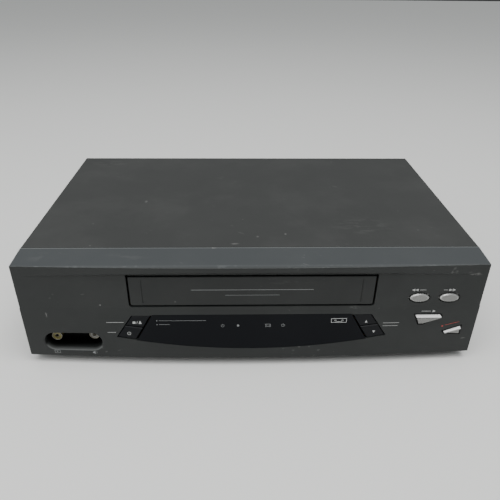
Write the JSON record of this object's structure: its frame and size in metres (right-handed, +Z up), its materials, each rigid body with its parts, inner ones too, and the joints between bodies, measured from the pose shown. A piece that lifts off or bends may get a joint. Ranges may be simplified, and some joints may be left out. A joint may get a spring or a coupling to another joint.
{
  "type": "video cassette recorder",
  "caption": "Front-loading video cassette recorder: folded cover over a bowed front with a flap door, dark display window, press buttons, front jacks and a working tape deck inside.",
  "frame": {"origin": "middle of the footprint, on the surface it stands on", "axes": "+X to the right seen from the front, +Y towards the back, +Z up"},
  "size_m": [0.3632, 0.2442, 0.094],
  "materials": {
    "cover_paint": "fine textured dark grey paint",
    "bezel_plastic": "finely grained dark grey moulding",
    "door_plastic": "finely grained dark grey moulding",
    "window_plastic": "smoked glossy acrylic",
    "dark_button": "satin blue-black",
    "silver_button": "satin silver-grey",
    "yellow_plastic": "yellow",
    "white_plastic": "white",
    "nickel": "nickel plated",
    "plated_steel": "zinc plated sheet",
    "rear_paint": "black paint",
    "rubber": "black rubber",
    "black_screw": "black oxide",
    "screw_steel": "yellow zinc",
    "black_plastic": "black moulding",
    "spring_steel": "bright wire",
    "circuit_board": "phenolic board",
    "lamp_plastic": "clear red",
    "tinned_steel": "tinned sheet",
    "transformer_steel": "varnished laminations",
    "capacitor_sleeve": "shrunk sleeve",
    "aluminium": "extruded",
    "drum_aluminium": "fine turned",
    "polished_steel": "polished",
    "motor_steel": "drawn can",
    "ivory_plastic": "ivory moulding"
  },
  "bodies": {
    "case": {"aerial_connectors": "nickel", "audio_control_head": "polished_steel", "audio_jack_rings": "white_plastic", "bottom_chassis": "plated_steel", "capacitors": "capacitor_sleeve", "capstan_motor": "plated_steel", "case_screws": "black_screw", "cord_gland": "black_plastic", "deck_plate": "plated_steel", "deck_screws": "screw_steel", "display_window": "window_plastic", "door_spring": "spring_steel", "drive_belt": "rubber", "erase_head": "polished_steel", "front_audio_jack": "white_plastic", "front_bezel": "bezel_plastic", "front_board": "circuit_board", "front_video_jack": "yellow_plastic", "head_amplifier_shield": "tinned_steel", "heatsink": "aluminium", "indicator_lamps": "lamp_plastic", "loader_brackets": "plated_steel", "loading_motor": "motor_steel", "lower_drum": "drum_aluminium", "main_board": "circuit_board", "power_transformer": "transformer_steel", "rear_jack_barrels": "nickel", "rear_panel": "rear_paint", "rubber_feet": "rubber", "tact_switches": "black_plastic", "top_cover": "cover_paint", "tuner_can": "tinned_steel", "video_jack_rings": "yellow_plastic"},
    "door": {"cassette_door": "door_plastic"},
    "stop_eject": {"stop_eject_button": "dark_button"},
    "power": {"power_button": "dark_button"},
    "channel_up": {"channel_up_button": "dark_button"},
    "channel_down": {"channel_down_button": "dark_button"},
    "rewind": {"rewind_button": "silver_button"},
    "fast_forward": {"fast_forward_button": "silver_button"},
    "play": {"play_button": "silver_button"},
    "record": {"record_button": "silver_button"},
    "channel_selector": {"channel_switch_knob": "black_plastic"},
    "carriage": {"basket_carriage": "plated_steel"},
    "basket": {"cassette_basket": "plated_steel"},
    "drum": {"upper_drum": "drum_aluminium", "drum_motor_disc": "plated_steel"},
    "capstan": {"capstan_flywheel": "polished_steel"},
    "clutch": {"clutch_pulley": "black_plastic"},
    "supply_table": {"supply_reel": "black_plastic"},
    "takeup_table": {"takeup_reel": "black_plastic"},
    "idler_lever": {"idler_arm": "plated_steel"},
    "idler": {"idler_wheel": "black_plastic"},
    "cam": {"cam_gear": "ivory_plastic"},
    "pinion": {"loading_pinion": "ivory_plastic"},
    "supply_post": {"supply_guide": "polished_steel"},
    "takeup_post": {"takeup_guide": "polished_steel"},
    "pinch_lever": {"pinch_arm": "plated_steel"},
    "pinch": {"pinch_roller": "rubber"},
    "tension_lever": {"tension_arm": "plated_steel"}
  },
  "joints": [
    {"name": "door_swing", "type": "hinge", "parent": "case", "child": "door", "pos_m": [0, -0.11075, 0.088], "axis": [1, 0, 0], "range_deg": [0, 90], "stiffness_Nm_per_rad": 0.01, "springref_deg": -17.19},
    {"name": "stop_eject_press", "type": "slide", "parent": "case", "child": "stop_eject", "axis": [0, 1, 0], "range_m": [0, 0.001], "stiffness_N_per_m": 1000, "springref_m": -0.0005},
    {"name": "power_press", "type": "slide", "parent": "case", "child": "power", "axis": [0, 1, 0], "range_m": [0, 0.001], "stiffness_N_per_m": 1000, "springref_m": -0.0005},
    {"name": "channel_up_press", "type": "slide", "parent": "case", "child": "channel_up", "axis": [0, 1, 0], "range_m": [0, 0.001], "stiffness_N_per_m": 1000, "springref_m": -0.0005},
    {"name": "channel_down_press", "type": "slide", "parent": "case", "child": "channel_down", "axis": [0, 1, 0], "range_m": [0, 0.001], "stiffness_N_per_m": 1000, "springref_m": -0.0005},
    {"name": "rewind_press", "type": "slide", "parent": "case", "child": "rewind", "axis": [0, 1, 0], "range_m": [0, 0.001], "stiffness_N_per_m": 1000, "springref_m": -0.0005},
    {"name": "fast_forward_press", "type": "slide", "parent": "case", "child": "fast_forward", "axis": [0, 1, 0], "range_m": [0, 0.001], "stiffness_N_per_m": 1000, "springref_m": -0.0005},
    {"name": "play_press", "type": "slide", "parent": "case", "child": "play", "axis": [0, 1, 0], "range_m": [0, 0.001], "stiffness_N_per_m": 1000, "springref_m": -0.0005},
    {"name": "record_press", "type": "slide", "parent": "case", "child": "record", "axis": [0, 1, 0], "range_m": [0, 0.001], "stiffness_N_per_m": 1000, "springref_m": -0.0005},
    {"name": "channel_selector_slide", "type": "slide", "parent": "case", "child": "channel_selector", "axis": [1, 0, 0], "range_m": [0, 0.003]},
    {"name": "carriage_slide", "type": "slide", "parent": "case", "child": "carriage", "axis": [0, 1, 0], "range_m": [0, 0.06]},
    {"name": "basket_drop", "type": "slide", "parent": "carriage", "child": "basket", "axis": [0, 0, -1], "range_m": [0, 0.019]},
    {"name": "drum_spin", "type": "hinge", "parent": "case", "child": "drum", "pos_m": [0, 0.06125, 0.033], "axis": [-0.104, 0, 0.9946], "continuous": true},
    {"name": "capstan_spin", "type": "hinge", "parent": "case", "child": "capstan", "pos_m": [0.074, 0.03425, 0.0176], "axis": [0, 0, 1], "continuous": true},
    {"name": "clutch_spin", "type": "hinge", "parent": "case", "child": "clutch", "pos_m": [0, -0.03075, 0.0148], "axis": [0, 0, 1], "continuous": true},
    {"name": "supply_reel_spin", "type": "hinge", "parent": "case", "child": "supply_table", "pos_m": [-0.046, -0.03075, 0.0322], "axis": [0, 0, 1], "continuous": true},
    {"name": "takeup_reel_spin", "type": "hinge", "parent": "case", "child": "takeup_table", "pos_m": [0.046, -0.03075, 0.0322], "axis": [0, 0, 1], "continuous": true},
    {"name": "idler_swing", "type": "hinge", "parent": "case", "child": "idler_lever", "pos_m": [0, -0.03075, 0.0322], "axis": [0, 0, 1], "range_deg": [-28, 28]},
    {"name": "idler_spin", "type": "hinge", "parent": "idler_lever", "child": "idler", "pos_m": [0, -0.00675, 0.0322], "axis": [0, 0, 1], "continuous": true},
    {"name": "cam_turn", "type": "hinge", "parent": "case", "child": "cam", "pos_m": [-0.074, 0.07825, 0.034], "axis": [0, 0, 1], "range_deg": [0, 270]},
    {"name": "pinion_spin", "type": "hinge", "parent": "case", "child": "pinion", "pos_m": [-0.049, 0.07825, 0.034], "axis": [0, 0, 1], "range_deg": [-1081, 1]},
    {"name": "supply_guide_slide", "type": "slide", "parent": "case", "child": "supply_post", "axis": [-0.508, 0.8614, 0], "range_m": [0, 0.04528]},
    {"name": "takeup_guide_slide", "type": "slide", "parent": "case", "child": "takeup_post", "axis": [0.508, 0.8614, 0], "range_m": [0, 0.04528]},
    {"name": "pinch_swing", "type": "hinge", "parent": "case", "child": "pinch_lever", "pos_m": [0.086, 0.05025, 0.0322], "axis": [0, 0, 1], "range_deg": [0, 55]},
    {"name": "pinch_roller_spin", "type": "hinge", "parent": "pinch_lever", "child": "pinch", "pos_m": [0.06793, 0.0595, 0.0322], "axis": [0, 0, 1], "continuous": true},
    {"name": "tension_swing", "type": "hinge", "parent": "case", "child": "tension_lever", "pos_m": [-0.08, 0.03625, 0.0322], "axis": [0, 0, 1], "range_deg": [0, 25], "stiffness_Nm_per_rad": 0.004, "springref_deg": -17.19}
  ],
  "couplings": [
    {"joint": "clutch_spin", "follows": "capstan_spin", "ratio": 0.66667},
    {"joint": "takeup_guide_slide", "follows": "supply_guide_slide", "ratio": 1},
    {"joint": "cam_turn", "follows": "supply_guide_slide", "rad_per_m": 104.07},
    {"joint": "pinion_spin", "follows": "supply_guide_slide", "rad_per_m": -416.27},
    {"joint": "pinch_swing", "follows": "supply_guide_slide", "rad_per_m": 21.199}
  ]
}
